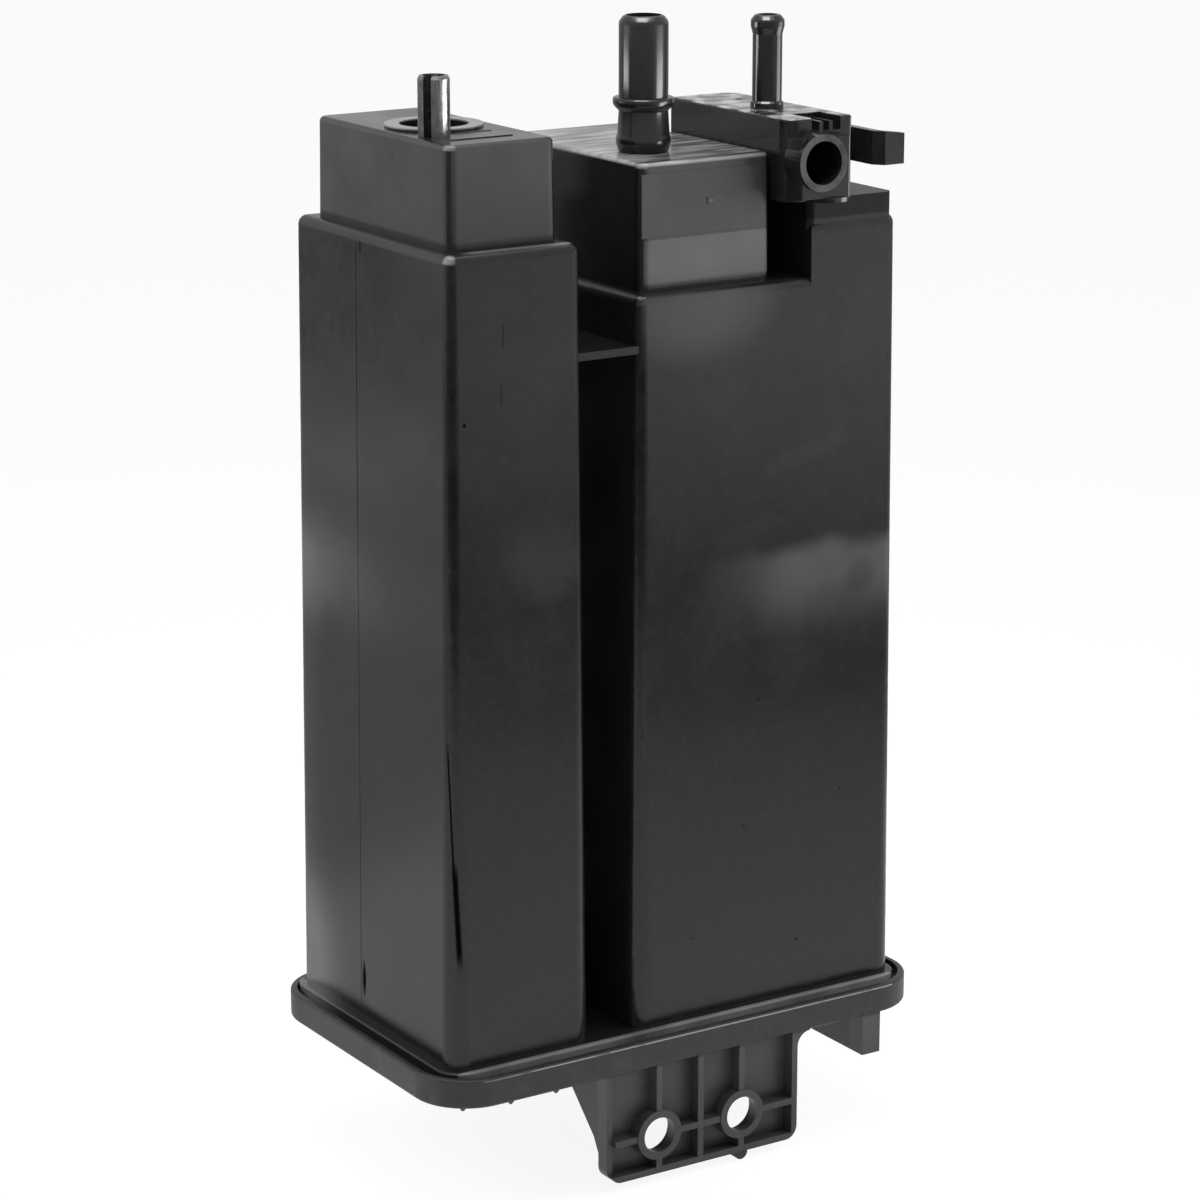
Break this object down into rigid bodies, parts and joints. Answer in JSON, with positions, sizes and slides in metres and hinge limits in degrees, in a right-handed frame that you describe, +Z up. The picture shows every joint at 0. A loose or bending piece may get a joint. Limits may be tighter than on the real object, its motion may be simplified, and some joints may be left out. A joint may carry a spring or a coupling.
{
  "type": "evaporative emission charcoal canister",
  "caption": "Black moulded charcoal canister with a slim tower beside a wide chamber, hose ports and a valve socket on top, and a welded bottom cover with a ribbed bolt-on bracket.",
  "frame": {"origin": "midway between the two bracket holes, on the front faces of their bosses", "axes": "+X towards the wide chamber and the valve duct, +Y from the bracket to the canister's rear, +Z up towards the ports"},
  "size_m": [0.1901, 0.1173, 0.3766],
  "materials": {
    "housing_plastic": "satin moulded black",
    "cover_plastic": "satin moulded black",
    "port_plastic": "smooth moulded black",
    "valve_plastic": "smooth moulded black",
    "pin_steel": "rolled spring steel, oiled",
    "charcoal": "packed granules",
    "filter_foam": "open foam",
    "plate_plastic": "moulded, plain",
    "spring_steel": "drawn wire"
  },
  "bodies": {
    "root": {"housing": "housing_plastic", "bottom_cover": "cover_plastic", "tank_port": "port_plastic", "valve_duct": "valve_plastic", "locating_pin": "pin_steel", "tower_spring_front": "spring_steel", "tower_spring_rear": "spring_steel", "chamber_spring_front_left": "spring_steel", "chamber_spring_front_right": "spring_steel", "chamber_spring_rear_left": "spring_steel", "chamber_spring_rear_right": "spring_steel", "vent_filter_pad": "filter_foam", "tank_filter_pad": "filter_foam", "purge_filter_pad": "filter_foam", "tower_lower_pad": "filter_foam", "chamber_lower_pad": "filter_foam", "tower_charcoal_bed": "charcoal", "chamber_charcoal_bed": "charcoal", "tower_retainer_plate": "plate_plastic", "chamber_retainer_plate": "plate_plastic"}
  },
  "joints": []
}
